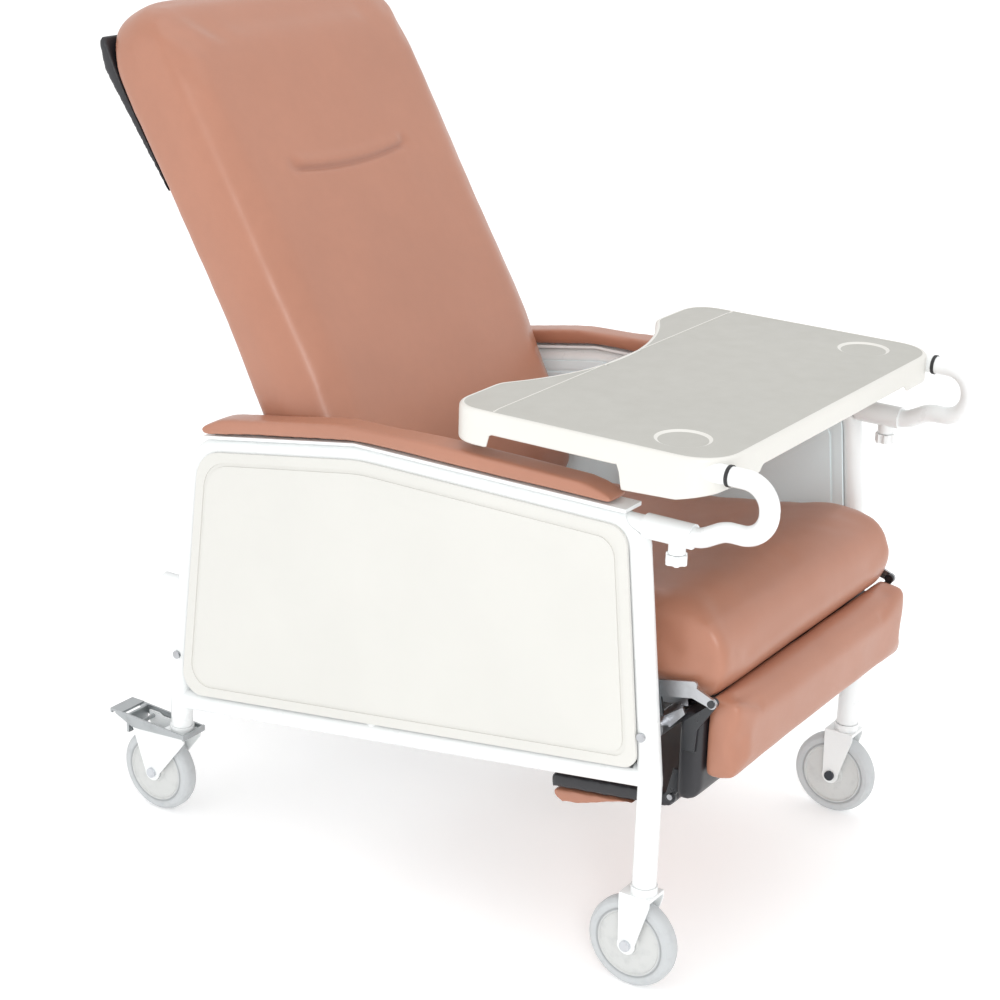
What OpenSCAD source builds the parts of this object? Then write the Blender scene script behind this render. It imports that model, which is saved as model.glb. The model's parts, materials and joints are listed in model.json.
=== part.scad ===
// Patient recliner chair on casters, with a slide-on tray.
// The occupant faces -Y, +X is the occupant's left, and the floor is Z = 0.

/* [Side frames] */
// Distance between the two side frames, tube centre to tube centre
frame_w = 612; // [606:2:618]
// Distance between the front and rear caster stems
wheelbase = 795; // [785:5:805]
// Outer diameter of the side frame tube
tube_d = 32; // [30:1:33]
// Height of the armrest rail, at the tube's centre
rail_z = 642; // [638:1:646]
// Height of the lower end of the legs
leg_bottom = 150; // [148:1:154]

/* [Seat and back] */
// Width of the seat cushion
seat_w = 522; // [500:2:524]
// Slope of the seat, down towards the back
seat_tilt = 6; // [5:0.5:7]
// Thickness of the seat cushion at its rear edge
seat_t = 97; // [90:1:98]
// Width of the back cushion
back_w = 550; // [520:2:552]
// Length of the back, measured along its slope
back_len = 885; // [860:5:900]
// Angle of the back from vertical in its upright position
back_lean = 27; // [26:0.5:28]

/* [Leg-rest] */
// Width of the leg-rest cushion
legrest_w = 516; // [490:2:518]
// Height of the leg-rest cushion
legrest_h = 104; // [95:1:108]
// Length of the folding foot board
foot_len = 192; // [180:2:196]

/* [Tray] */
// Overall width of the tray
tray_w = 656; // [652:2:664]
// Height of the tray's top surface
tray_z = 748; // [746:1:752]
// Depth of the tray from front to back
tray_depth = 397; // [390:1:400]
// Diameter of the tray arm tube
arm_tube_d = 25; // [24:0.5:25]

/* [Casters] */
// Wheel diameter
wheel_d = 127; // [124:1:128]
// Wheel width
wheel_w = 28; // [26:1:29]
// Distance of the front wheels behind their stems
front_trail = 12; // [10:1:16]
// Distance of the rear wheels behind their stems
rear_trail = 45; // [42:1:46]

/* [Hidden] */
$fn = 64;

// Colours
vinyl = [0.74, 0.52, 0.43];
black_vinyl = [0.10, 0.10, 0.12];
white_paint = [0.93, 0.94, 0.94];
panel_white = [0.91, 0.91, 0.88];
panel_grey = [0.80, 0.85, 0.87];
tray_grey = [0.82, 0.81, 0.78];
steel = [0.70, 0.71, 0.73];
wheel_grey = [0.80, 0.81, 0.80];

// The whole chair is moved so that the middle of its outline is over the origin
origin_shift = -3.5;
run_gap = 0.05;          // radial clearance of every pin in its hole
bend_lap = 1.5;
bend_swell = 0.15;
side_x = frame_w / 2;
tube_r = tube_d / 2;
tube_wall = 2;
front_stem_y = -wheelbase / 2;
rear_stem_y = wheelbase / 2;

// Side frame, as points of the tube's centreline in the side plane
frame_path = [
    [front_stem_y, leg_bottom], [front_stem_y, 300], [-360, rail_z], [66, rail_z],
    [353, rail_z - 48], [rear_stem_y, 200], [rear_stem_y, leg_bottom]
];
frame_bends = [0, 120, 34, 320, 62, 120, 0];
low_rail_front = [front_stem_y, 306];
low_rail_rear = [rear_stem_y - 8, 194];
upright_y = 40;
upright_r = 12.5;
upright_foot_z = 244;

// Cross tubes between the side frames, as points in the side plane
cross_r = 12.7;
front_cross = [-390, 365];
mid_cross = [upright_y, 320];
rear_cross = [389.5, 270];
cross_end = side_x - tube_r - 0.2;
bolt_r = 3;
bolt_reach = 20;

// Panels fill the side frame's loop
panel_points = [
    [-354.5, rail_z - 2], [60, rail_z - 2], [338, rail_z - 48], [378, 214], [-387.5, 321]
];
panel_corner = 26;
panel_out_x = side_x + tube_r + 0.3;
panel_out_t = 4.7;
panel_in_x = side_x - tube_r - 5.2;
panel_in_t = 4;
groove_inset = 14;
groove_w = 5;
groove_depth = 1.4;

// Armrests
arm_w = 48;
arm_in_x = 282;
arm_rail_points = [
    [-352, rail_z + 16.4], [66, rail_z + 16.6], [330, rail_z - 27.5], [330, rail_z - 22.6],
    [66, rail_z + 20.4], [-352, rail_z + 21.5]
];
arm_pad_points = [
    [-334, rail_z + 22], [62, rail_z + 22], [326, rail_z - 21], [340, rail_z - 12],
    [302, rail_z + 8], [100, rail_z + 43], [-60, rail_z + 48], [-290, rail_z + 46], [-334, rail_z + 34]
];

// Seat frame and seat, in a frame that slopes with the seat
seat_origin = [-440, 418];
seat_len = 512;
board_t = 12;
seat_rail_x = 215;
seat_rail = 25;
cushion_rear = 480;
seat_board_x = 246;       // half widths of the boards, which sit in pockets of the cushions
back_board_x = 250;
board_corner = 30;

// Back, in a frame that leans with the back
back_origin = [110, 395];
back_pivot_n = 25;
back_pivot = [back_origin[0] + back_pivot_n * cos(back_lean), back_origin[1] - back_pivot_n * sin(back_lean)];
hinge_pin_r = 6;
eye_r = 17;
eye_len = 24;
clevis_r = 20;
clevis_t = 5;
clevis_gap = 26;
back_tube_r = 11;
back_bottom = 45;
push_bar_at = [49, 838];
push_bar_r = 12.5;

// Latch that holds the back: a notched plate and a sprung lever
plate_x = 190;
plate_r = 62;
lever_pivot = [back_pivot[0] + 16, 296];
notch_step = 17.5;

// Leg-rest and foot board
legrest_pivot = [-460, 412];
legrest_eye_r = 7;
legrest_pin_r = 3.5;
legrest_front = -494;
legrest_back = -446.4;
legrest_top = 404;
board_rear = -412;
board_low = 262;
foot_pivot = [-402, 258];
foot_tilt = 8;
foot_rod_r = 4;

// Tray arms
arm_r = arm_tube_d / 2;
loop_top_z = tray_z - 5.5 - arm_r;
loop_low_z = rail_z + 17;
arm_path = [
    [-200, rail_z], [-448, rail_z], [-480, loop_low_z], [-537, loop_low_z], [-537, loop_top_z],
    [-402, loop_top_z]
];
arm_bends = [0, 40, 40, 34, 34, 0];
sleeve_front = -438;
knob_y = -416;

// Tray outline
tray_front = -479;
tray_rear = tray_front + tray_depth;
tray_plate = 5;
skirt_t = 4;
belly_w = 412;
belly_depth = 64;

// Casters
wheel_r = wheel_d / 2;
axle_r = 4;
fork_t = 3;
fork_in = wheel_w / 2 + 3;
stem_r = 6;
brake_pin_y = 27.5;
brake_pin_z = 136;

// ---------- helpers ----------

// Puts a drawing made in (Y, Z) coordinates into the side plane at a given X; it extrudes towards +X
module side_plane(x) {
    translate([x, 0, 0]) rotate([90, 0, 90]) children();
}

// Moves the whole chair to its origin
module placed() {
    translate([0, origin_shift, 0]) children();
}

// A copy on each side of the chair's middle plane
module both_sides() {
    children();
    mirror([1, 0, 0]) children();
}

// The seat's sloping frame: local y runs back along the seat, local z is square to it
module on_seat() {
    translate([0, seat_origin[0], seat_origin[1]]) rotate([-seat_tilt, 0, 0]) children();
}

// The back's leaning frame: local y points behind the back, local z runs up along it
module on_back() {
    translate([0, back_origin[0], back_origin[1]]) rotate([-back_lean, 0, 0]) children();
}

// The foot board's frame, from its hinge
module on_foot() {
    translate([0, foot_pivot[0], foot_pivot[1]]) rotate([-foot_tilt, 0, 0]) children();
}

// A round bar along X, centred on a point of the side plane
module cross_bar(at, r, half) {
    translate([-half, at[0], at[1]]) rotate([0, 90, 0]) cylinder(h = 2 * half, r = r);
}

// A short bar along X, from x0 to x1
module bar_x(at, r, x0, x1) {
    translate([x0, at[0], at[1]]) rotate([0, 90, 0]) cylinder(h = x1 - x0, r = r);
}

function unit(v) = v / norm(v);
function heading(a, b) = atan2(b[1] - a[1], b[0] - a[0]);
function wrap(d) = d > 180 ? d - 360 : (d <= -180 ? d + 360 : d);
function turn(a, b, c) = wrap(heading(b, c) - heading(a, b));
function setback(a, b, c, r) = r * tan(abs(turn(a, b, c)) / 2);
function lengthen(p, d) = let (n = len(p) - 1) [
    for (i = [0:n])
        i == 0 ? p[0] - unit(p[1] - p[0]) * d : (i == n ? p[n] + unit(p[n] - p[n - 1]) * d : p[i])
];
function has_bend(p, i) = i > 0 && i < len(p) - 1;
function cut_at(p, bends, i) = has_bend(p, i) ? setback(p[i - 1], p[i], p[i + 1], bends[i]) : 0;

// Points of the arc that rounds corner b between a and c
function corner_arc(a, b, c, r, steps) =
    r == 0 ? [b] :
    let (
        t = turn(a, b, c),
        s = t > 0 ? 1 : -1,
        h = heading(a, b),
        start = b - unit(b - a) * setback(a, b, c, r),
        mid = start + s * r * [-sin(h), cos(h)]
    )
    [for (k = [0:steps]) mid + s * r * [sin(h + t * k / steps), -cos(h + t * k / steps)]];

// A closed outline with every corner rounded by its own radius
function rounded(p, radii, steps = 8) = [
    for (i = [0:len(p) - 1])
        each corner_arc(p[(i + len(p) - 1) % len(p)], p[i], p[(i + 1) % len(p)], radii[i], steps)
];

// The same outline moved inwards by d, for points that run clockwise
function inset(p, d) = [
    for (i = [0:len(p) - 1])
        let (
            u = unit(p[i] - p[(i + len(p) - 1) % len(p)]),
            v = unit(p[(i + 1) % len(p)] - p[i]),
            m = [u[1] + v[1], -u[0] - v[0]]
        )
        p[i] + m * d / (1 + u * v)
];

// A tube or rod that follows points in the XY plane, with an arc at each bend.
// Each bend is a hair thicker than the straights, which run a little way into it.
module bent_rod(p, bends, r) {
    for (i = [0:len(p) - 2]) {
        u = unit(p[i + 1] - p[i]);
        from = p[i] + u * (cut_at(p, bends, i) - (has_bend(p, i) ? bend_lap : 0));
        to = p[i + 1] - u * (cut_at(p, bends, i + 1) - (has_bend(p, i + 1) ? bend_lap : 0));
        rod_between(from, to, r);
    }
    for (i = [1:len(p) - 2]) {
        t = turn(p[i - 1], p[i], p[i + 1]);
        h = heading(p[i - 1], p[i]);
        s = t > 0 ? 1 : -1;
        start = p[i] - unit(p[i] - p[i - 1]) * cut_at(p, bends, i);
        mid = start + s * bends[i] * [-sin(h), cos(h)];
        first = t > 0 ? h - 90 : h + 90 + t;
        translate(mid) rotate(first) rotate_extrude(angle = abs(t))
            translate([bends[i], 0]) circle(r = r + bend_swell);
    }
}

// A straight rod between two points of the XY plane
module rod_between(a, b, r) {
    translate(a) rotate([90, 0, heading(a, b) + 90]) cylinder(h = norm(b - a), r = r);
}

// ---------- side frames and structure ----------

// Side frame: a bent tube loop with two legs, a lower rail and a middle upright
module side_frame(side) {
    color(white_paint) placed() difference() {
        side_plane(side * side_x) union() {
            bent_rod(frame_path, frame_bends, tube_r);
            rod_between(low_rail_front, low_rail_rear, tube_r - 0.5);
            rod_between([upright_y, upright_foot_z], [upright_y, rail_z], upright_r);
        }
        side_plane(side * side_x) bent_rod(lengthen(frame_path, 1), frame_bends, tube_r - tube_wall);
        side_plane(side * side_x) rod_between(low_rail_front + [20, 0], low_rail_rear - [20, 0], tube_r - 2.5);
        // opening in the front bend for the tray arm
        translate([side * side_x, -316, rail_z]) rotate([90, 0, 0]) cylinder(h = 76, r = arm_r + 0.8);
        // bolt holes
        for (at = [front_cross, rear_cross, mid_cross])
            bar_x(at, bolt_r + 0.1, side * side_x - tube_r - 2, side * side_x + tube_r + 2);
    }
}
module frame_left() { side_frame(1); }
module frame_right() { side_frame(-1); }

// Sockets pressed into the legs, which hold the caster stems
module caster_sockets() {
    color(panel_grey) placed() both_sides() for (y = [front_stem_y, rear_stem_y])
        translate([side_x, y, leg_bottom]) difference() {
            cylinder(h = 44, r = tube_r - tube_wall - 0.02);
            translate([0, 0, -1]) cylinder(h = 42, r = stem_r + run_gap);
        }
}

// A cross tube with a threaded plug in each end
module cross_tube(at) {
    difference() {
        cross_bar(at, cross_r, cross_end);
        cross_bar(at, cross_r - 2, cross_end - bolt_reach);
        cross_bar(at, bolt_r + 0.02, cross_end + 1);
    }
}

module rear_cross_tube() {
    color(white_paint) placed() cross_tube(rear_cross);
}

// Two plates that carry the back's pivot pin
module back_clevis() {
    base_w = clevis_gap + 2 * clevis_t;
    difference() {
        union() {
            side_plane(seat_rail_x - base_w / 2) linear_extrude(base_w)
                polygon([[112, 315], [150, 315], [152, 350], [112, 350]]);
            for (x = [seat_rail_x - base_w / 2, seat_rail_x + clevis_gap / 2])
                side_plane(x) linear_extrude(clevis_t) union() {
                    translate(back_pivot) circle(r = clevis_r);
                    polygon([[112, 330], [152, 330], [152, back_pivot[1]], [112, back_pivot[1]]]);
                }
        }
        bar_x(back_pivot, hinge_pin_r, seat_rail_x - 30, seat_rail_x + 30);
    }
}

// Side bracket that carries the leg-rest's pivot: a strut, a sloping flat bar, a link and an eye
module legrest_bracket() {
    bar = [[-438, 414], [-438, 437], [-372, 423], [-372, 400]];
    neck = [[-461, 405.4], [-432, 413], [-432, 430], [-461, 418.6]];
    side_plane(269) linear_extrude(4) difference() {
        union() {
            polygon([[-394, 370], [-374, 370], [-374, 412], [-386, 412]]);
            polygon([[-398, 358], [-386, 372], [-420, 396], [-424, 388]]);
            polygon(rounded(bar, [4, 4, 4, 4], 4));
            translate(legrest_pivot) circle(r = legrest_eye_r);
            polygon(neck);
        }
        translate(legrest_pivot) circle(r = legrest_pin_r);
    }
}

// Lugs that carry the release lever's pivot, bridged to the back clevis
module lever_lugs() {
    for (x = [plate_x - 11.5, plate_x + 7.5]) side_plane(x) linear_extrude(4) difference() {
        union() {
            translate(lever_pivot) circle(r = 9);
            polygon([[126, 319], [154, 319], [lever_pivot[0] + 8, 296], [lever_pivot[0] - 8, 296]]);
        }
        translate(lever_pivot) circle(r = 4.02);
    }
    translate([plate_x - 11.5, 146, 312]) cube([22, 8, 7]);
}

// Seat frame: two sloping rails on two cross tubes, with the brackets for every pivot
module seat_frame() {
    color(white_paint) placed() union() {
        cross_tube(front_cross);
        cross_tube(mid_cross);
        both_sides() {
            on_seat() translate([seat_rail_x - seat_rail / 2, 40, -board_t - seat_rail]) difference() {
                cube([seat_rail, 552, seat_rail - 0.02]);
                translate([2, -1, 2]) cube([seat_rail - 4, 540, seat_rail - 4]);
            }
            back_clevis();
            legrest_bracket();
        }
        lever_lugs();
    }
}

// Bolts that join the cross tubes to the side frames
module frame_bolts() {
    color(steel) placed() both_sides() {
        for (at = [front_cross, rear_cross]) {
            bar_x(at, bolt_r, cross_end - 16, side_x + tube_r);
            bar_x(at, 6, side_x + tube_r, side_x + tube_r + 3.5);
        }
        bar_x(mid_cross, bolt_r, cross_end - 16, side_x + upright_r);
        bar_x(mid_cross, 6, side_x + upright_r, side_x + upright_r + 3);
    }
}

// Rubber-tipped stops on the rear legs
module wall_bumpers() {
    color(white_paint) placed() both_sides() difference() {
        translate([side_x, 380, 376]) rotate([-90, 0, 0]) cylinder(h = 43, r = 11);
        side_plane(side_x) bent_rod(frame_path, frame_bends, tube_r);
    }
}

// ---------- panels and armrests ----------

panel_radii = [panel_corner, 240, 48, 30, 20];

// Moulded panel with an embossed border
module panel(x, t, groove_x) {
    difference() {
        side_plane(x) linear_extrude(t) polygon(rounded(panel_points, panel_radii));
        side_plane(groove_x) linear_extrude(groove_depth) difference() {
            polygon(rounded(inset(panel_points, groove_inset), panel_radii));
            polygon(rounded(inset(panel_points, groove_inset + groove_w), panel_radii));
        }
    }
}
module outer_panel() {
    panel(panel_out_x, panel_out_t, panel_out_x + panel_out_t - groove_depth + 0.01);
}
module inner_panel() {
    difference() {
        panel(panel_in_x, panel_in_t, panel_in_x - 0.01);
        for (at = [mid_cross, front_cross]) bar_x(at, cross_r + 1, panel_in_x - 1, side_x);
    }
}
module outer_panel_left() { color(panel_white) placed() outer_panel(); }
module outer_panel_right() { color(panel_white) placed() mirror([1, 0, 0]) outer_panel(); }
module inner_panel_left() { color(panel_grey) placed() inner_panel(); }
module inner_panel_right() { color(panel_grey) placed() mirror([1, 0, 0]) inner_panel(); }

// Flat bar between the frame tube and the arm pad
module arm_rail() {
    side_plane(arm_in_x + 4) linear_extrude(arm_w - 8) polygon(arm_rail_points);
}
module arm_rail_left() { color(white_paint) placed() arm_rail(); }
module arm_rail_right() { color(white_paint) placed() mirror([1, 0, 0]) arm_rail(); }

module arm_pad() {
    side_plane(arm_in_x) linear_extrude(arm_w)
        polygon(rounded(arm_pad_points, [4, 300, 5, 7, 60, 300, 300, 40, 10], 5));
}
module arm_pad_left() { color(vinyl) placed() arm_pad(); }
module arm_pad_right() { color(vinyl) placed() mirror([1, 0, 0]) arm_pad(); }

// ---------- tray sleeves and knobs ----------

// Sleeve on the front of the armrest rail: the tray arm slides in it, and its boss takes the knob
module tray_sleeve() {
    difference() {
        union() {
            translate([side_x, -372, rail_z]) rotate([90, 0, 0]) cylinder(h = -372 - sleeve_front, r = tube_r);
            translate([side_x, knob_y, rail_z - 26]) cylinder(h = 20, r = 11);
        }
        side_plane(side_x) bent_rod(frame_path, frame_bends, tube_r);
        translate([side_x, -360, rail_z]) rotate([90, 0, 0]) cylinder(h = 90, r = arm_r + 0.06);
        translate([side_x, knob_y, rail_z - 30]) cylinder(h = 26, r = 4 + run_gap);
    }
}
module tray_sleeve_left() { color(white_paint) placed() tray_sleeve(); }
module tray_sleeve_right() { color(white_paint) placed() mirror([1, 0, 0]) tray_sleeve(); }

// Clamp knob: a fluted head on a threaded stud
module clamp_knob() {
    translate([side_x, knob_y, rail_z - 40]) {
        difference() {
            cylinder(h = 13, r = 14);
            for (a = [0:60:300]) rotate(a) translate([17, 0, -1]) cylinder(h = 15, r = 6);
        }
        cylinder(h = 26, r = 4);
    }
}
module clamp_knob_left() { color(white_paint) placed() clamp_knob(); }
module clamp_knob_right() { color(white_paint) placed() mirror([1, 0, 0]) clamp_knob(); }

// ---------- seat ----------

module seat_board() {
    color([0.72, 0.60, 0.44]) placed() on_seat()
        translate([-seat_board_x, 8, -board_t]) cube([2 * seat_board_x, seat_len - 8, board_t]);
}

// Seat cushion: a rounded nose at the front, and a pocket underneath that takes the board
module seat_cushion() {
    outline = [
        [-12, -board_t - 0.4], [-37, 34], [-28, seat_t - 6], [46, seat_t + 9],
        [cushion_rear, seat_t], [cushion_rear, -board_t - 0.4]
    ];
    color(vinyl) placed() on_seat() difference() {
        side_plane(-seat_w / 2) linear_extrude(seat_w) polygon(rounded(outline, [12, 40, 42, 120, 12, 8], 6));
        translate([-seat_board_x - 0.3, 7.7, -board_t - 2]) cube([2 * seat_board_x + 0.6, 600, board_t + 2.3]);
    }
}

module back_pins() {
    color(steel) placed() both_sides() difference() {
        bar_x(back_pivot, hinge_pin_r, seat_rail_x - 19, seat_rail_x + 20.5);
        bar_x(back_pivot, hinge_pin_r - 3, seat_rail_x + 18.5, seat_rail_x + 22);
    }
}

module legrest_pins() {
    color(steel) placed() both_sides() {
        bar_x(legrest_pivot, legrest_pin_r, 263, 273);
        bar_x(legrest_pivot, legrest_pin_r + 1.5, 273, 275);
    }
}

// ---------- back ----------

// Two side tubes with pivot eyes, and three bars across
module back_frame() {
    path = [[back_pivot_n, 0], [back_pivot_n, 640], push_bar_at];
    color(steel) placed() on_back() difference() {
        union() {
            both_sides() {
                side_plane(seat_rail_x) bent_rod(path, [0, 80, 0], back_tube_r);
                bar_x([back_pivot_n, 0], eye_r, seat_rail_x - eye_len / 2, seat_rail_x + eye_len / 2);
            }
            for (s = [120, 400, 620]) cross_bar([back_pivot_n, s], 8, seat_rail_x - 5);
            // spacer that carries the position plate
            translate([plate_x + 5, back_pivot_n - 6, 28]) cube([16, 12, 26]);
        }
        bar_x([back_pivot_n, 0], hinge_pin_r + run_gap, -300, 300);
        cross_bar(push_bar_at, push_bar_r + 0.02, 300);
    }
}

// Notched plate round the pivot, one notch for each of the three positions
module position_plate() {
    color(steel) placed() side_plane(plate_x) linear_extrude(4.9) difference() {
        translate(back_pivot) union() {
            circle(r = 24);
            polygon([
                [0, 0], for (a = [-108:6:-36]) plate_r * [cos(a), sin(a)]
            ]);
            rotate(-back_lean) polygon([[-7, 0], [7, 0], [7, 54], [-7, 54]]);
        }
        translate(back_pivot) circle(r = 9);
        for (k = [0:2]) translate(back_pivot) rotate(-90 + k * notch_step) translate([plate_r, 0])
            polygon([[-7, -2.5], [2, -4], [2, 4], [-7, 2.5]]);
    }
}

module push_bar() {
    color(black_vinyl) placed() on_back() cross_bar(push_bar_at, push_bar_r, 228);
}

function back_outline(half, low, high, corner) =
    rounded([[-half, low], [-half, high], [half, high], [half, low]], [12, corner, corner, 12], 8);

// Extrudes a drawing in (X, along the back) from n0 to n1 behind the back's face
module through_back(n0, n1) {
    translate([0, n1, 0]) rotate([90, 0, 0]) linear_extrude(n1 - n0) children();
}

module back_board() {
    color([0.72, 0.60, 0.44]) placed() on_back() through_back(0, 12)
        polygon(back_outline(back_board_x, back_bottom, back_len - 30, board_corner));
}

// Back cushion: its edge wraps behind the board, further at the head end
module back_cushion() {
    side = [
        [27, back_bottom], [27, 440], [52, 790], [50, back_len], [-44, back_len], [-64, 770],
        [-96, 320], [-92, 160], [-72, back_bottom]
    ];
    color(vinyl) placed() on_back() difference() {
        intersection() {
            side_plane(-300) linear_extrude(600)
                polygon(rounded(side, [6, 200, 60, 16, 34, 200, 200, 60, 20], 5));
            through_back(-120, 60) polygon(back_outline(back_w / 2, back_bottom, back_len, 76));
        }
        through_back(-0.3, 61)
            polygon(back_outline(back_board_x + 0.3, -20, back_len - 29.7, board_corner + 0.3));
    }
}

// Outer or inner form of the rear cover: a shallow box that swells into a roll over the push bar
module cover_form(t) {
    half = back_board_x - 0.4;
    translate([0, 0, 32 - (t > 0 ? 1 : 0)]) linear_extrude(back_len - 92 - t)
        polygon([[-half + t, 12.2 - t], [half - t, 12.2 - t], [238 - t, 41 - t], [-238 + t, 41 - t]]);
    // between the cushion's side edges the roll reaches forward to the board
    core = [[33 + 0.8 * t, 614 + 3 * t], [60, 800 - t], [60 - t, 846 - t], [44 + t, 846 - t], [43 + t, 815]];
    side_plane(-234 + t) linear_extrude(468 - 2 * t) polygon(core);
    roll = [[40.4 + 0.7 * t, 606 + 4 * t], [73 - t, 824], [64 - t, 862 - t], [54 + t, 866 - t], [54 + t, 790]];
    side_plane(-270 + t) linear_extrude(540 - 2 * t) polygon(rounded(roll, [0, 18, 5, 0, 0], 6));
}
module back_cover() {
    color(black_vinyl) placed() on_back() difference() {
        cover_form(0);
        cover_form(4);
        // passage from the box into the roll for the frame tubes and the bar
        side_plane(-230) linear_extrude(460) polygon([[20, 640], [38, 632], [66, 822], [58, 856], [20, 856]]);
    }
}

// Lever with a tooth that drops into the position plate
module release_lever() {
    tooth = [back_pivot[0], back_pivot[1] - plate_r - 0.8];
    color(steel) placed() difference() {
        union() {
            side_plane(plate_x - 5) linear_extrude(10) union() {
                translate(lever_pivot) circle(r = 8);
                polygon([
                    [tooth[0] - 2, tooth[1]], [tooth[0] + 2, tooth[1]],
                    [lever_pivot[0] + 4, lever_pivot[1] + 7], [lever_pivot[0], lever_pivot[1] - 8],
                    [tooth[0] - 6, tooth[1] - 14]
                ]);
            }
            side_plane(plate_x) bent_rod(
                [[lever_pivot[0] + 4, lever_pivot[1]], [280, 292], [350, 320]], [0, 60, 0], 4
            );
            side_plane(plate_x) rod_between([320, 308], [352, 320.8], 9);
        }
        bar_x(lever_pivot, 4 + run_gap, plate_x - 20, plate_x + 20);
    }
}

module release_pin() {
    color(steel) placed() bar_x(lever_pivot, 4, plate_x - 13, plate_x + 13);
}

// ---------- leg-rest and foot board ----------

module legrest_board() {
    outline = [
        [board_rear, board_low], [legrest_back, board_low], [legrest_back, legrest_top - 16],
        [board_rear, legrest_top - 16]
    ];
    color(black_vinyl) placed() side_plane(-263.9) linear_extrude(527.8)
        polygon(rounded(outline, [5, 24, 5, 5], 6));
}

module legrest_cushion() {
    low = legrest_top - legrest_h;
    outline = [
        [legrest_back - 0.3, low], [legrest_front, low], [legrest_front, legrest_top],
        [legrest_back - 0.3, legrest_top]
    ];
    color(vinyl) placed() side_plane(-legrest_w / 2) linear_extrude(legrest_w)
        polygon(rounded(outline, [6, 20, 14, 4], 6));
}

// Steel arms on the ends of the leg-rest, and lugs for the foot board's rod
module legrest_arms() {
    color(steel) placed() both_sides() {
        side_plane(264) linear_extrude(4) difference() {
            union() {
                translate(legrest_pivot) circle(r = legrest_eye_r);
                polygon([[-466, 409], [-455, 407.5], [-420, 376], [-420, 336], [-438, 336], [-440, 368]]);
            }
            translate(legrest_pivot) circle(r = legrest_pin_r + run_gap);
        }
        side_plane(254) linear_extrude(4) difference() {
            union() {
                translate(foot_pivot) circle(r = 8);
                polygon([
                    [board_rear + 0.1, 268], [board_rear + 0.1, 300], [-404, 300],
                    [foot_pivot[0] + 8, 258], [-404, 252]
                ]);
            }
            translate(foot_pivot) circle(r = foot_rod_r);
        }
    }
}

module foot_rod() {
    color(steel) placed() cross_bar(foot_pivot, foot_rod_r, 260);
}

module foot_board() {
    color(black_vinyl) placed() on_foot() difference() {
        union() {
            side_plane(-250) linear_extrude(500)
                polygon(rounded([[5, -20], [5, 0], [foot_len, 0], [foot_len, -20]], [3, 3, 6, 3], 4));
            cross_bar([0, 0], 9, 250);
        }
        cross_bar([0, 0], foot_rod_r + run_gap, 300);
    }
}

module foot_pad() {
    outline = [
        [40, -20.3], [foot_len - 2, -20.3], [foot_len + 4, -28], [foot_len - 10, -44], [150, -43], [104, -33]
    ];
    color(vinyl) placed() on_foot() side_plane(-250) linear_extrude(500)
        polygon(rounded(outline, [0, 2, 5, 10, 30, 60], 4));
}

// ---------- tray ----------

belly_r = (belly_w * belly_w / 4 + belly_depth * belly_depth) / (2 * belly_depth);

// Outline of the tray seen from above, with the curved cut-out for the occupant
module tray_outline(d) {
    half = tray_w / 2 - d;
    points = [
        [-half, tray_front + d], [-half, tray_rear - d], [half, tray_rear - d], [half, tray_front + d]
    ];
    difference() {
        polygon(rounded(points, [58 - d, 42 - d, 42 - d, 58 - d], 8));
        translate([0, tray_rear - belly_depth + belly_r]) circle(r = belly_r + d, $fn = 160);
    }
}

// Side view of the skirt: deep at the front corner, shallow in the middle, a foot at the rear
module skirt_profile() {
    low = tray_z - 60;
    polygon(rounded(
        [
            [-490, tray_z - 30], [-465, tray_z - 44], [-420, low + 4], [-342, low], [-338, tray_z - 30],
            [-150, tray_z - 30], [-144, tray_z - 48], [-60, tray_z - 48], [-60, tray_z + 5], [-490, tray_z + 5]
        ],
        [0, 20, 60, 6, 4, 4, 5, 0, 0, 0], 5
    ));
}

module tray_top() {
    color(tray_grey) placed() difference() {
        union() {
            translate([0, 0, tray_z - tray_plate]) linear_extrude(tray_plate) tray_outline(0);
            intersection() {
                translate([0, 0, tray_z - 70]) linear_extrude(66) difference() {
                    tray_outline(0);
                    tray_outline(skirt_t);
                }
                side_plane(-400) linear_extrude(800) skirt_profile();
            }
        }
        // the front and rear skirts are shallow between the corners
        translate([-210, tray_front - 1, tray_z - 80]) cube([420, 30, 50]);
        translate([-214, tray_rear - 100, tray_z - 80]) cube([428, 110, 50]);
        // groove across the top, behind the work area
        translate([-tray_w / 2 + 14, -150, tray_z - 1.2]) cube([tray_w - 28, 3, 3]);
        // cup recesses
        for (x = [-260, 260]) translate([x, -391, tray_z - 2.5]) cylinder(h = 5, r = 34);
        // holes for the tray arms
        for (x = [-side_x, side_x])
            translate([x, -440, loop_top_z]) rotate([90, 0, 0]) cylinder(h = 50, r = arm_r + 0.1);
    }
}

module tray_arm() {
    side_plane(side_x) difference() {
        bent_rod(arm_path, arm_bends, arm_r);
        bent_rod(lengthen(arm_path, 1), arm_bends, arm_r - 1.6);
    }
}
module tray_arm_left() { color(white_paint) placed() tray_arm(); }
module tray_arm_right() { color(white_paint) placed() mirror([1, 0, 0]) tray_arm(); }

// Plastic clamps under the tray, with a collar round each arm in front of the skirt
module tray_clamps() {
    color(black_vinyl) placed() both_sides() difference() {
        union() {
            translate([side_x - 17, -430, loop_top_z - 16]) cube([34, 26, 27]);
            translate([side_x, -479.3, loop_top_z]) rotate([90, 0, 0]) cylinder(h = 5, r = 13.8);
        }
        translate([side_x, -400, loop_top_z]) rotate([90, 0, 0]) cylinder(h = 130, r = arm_r + 0.01);
    }
}

// ---------- casters ----------

// Draws a caster part at one corner: side is +1 or -1, end_y is the stem's place
module caster_at(side, end_y) {
    placed() translate([side * side_x, end_y, 0]) children();
}

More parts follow.
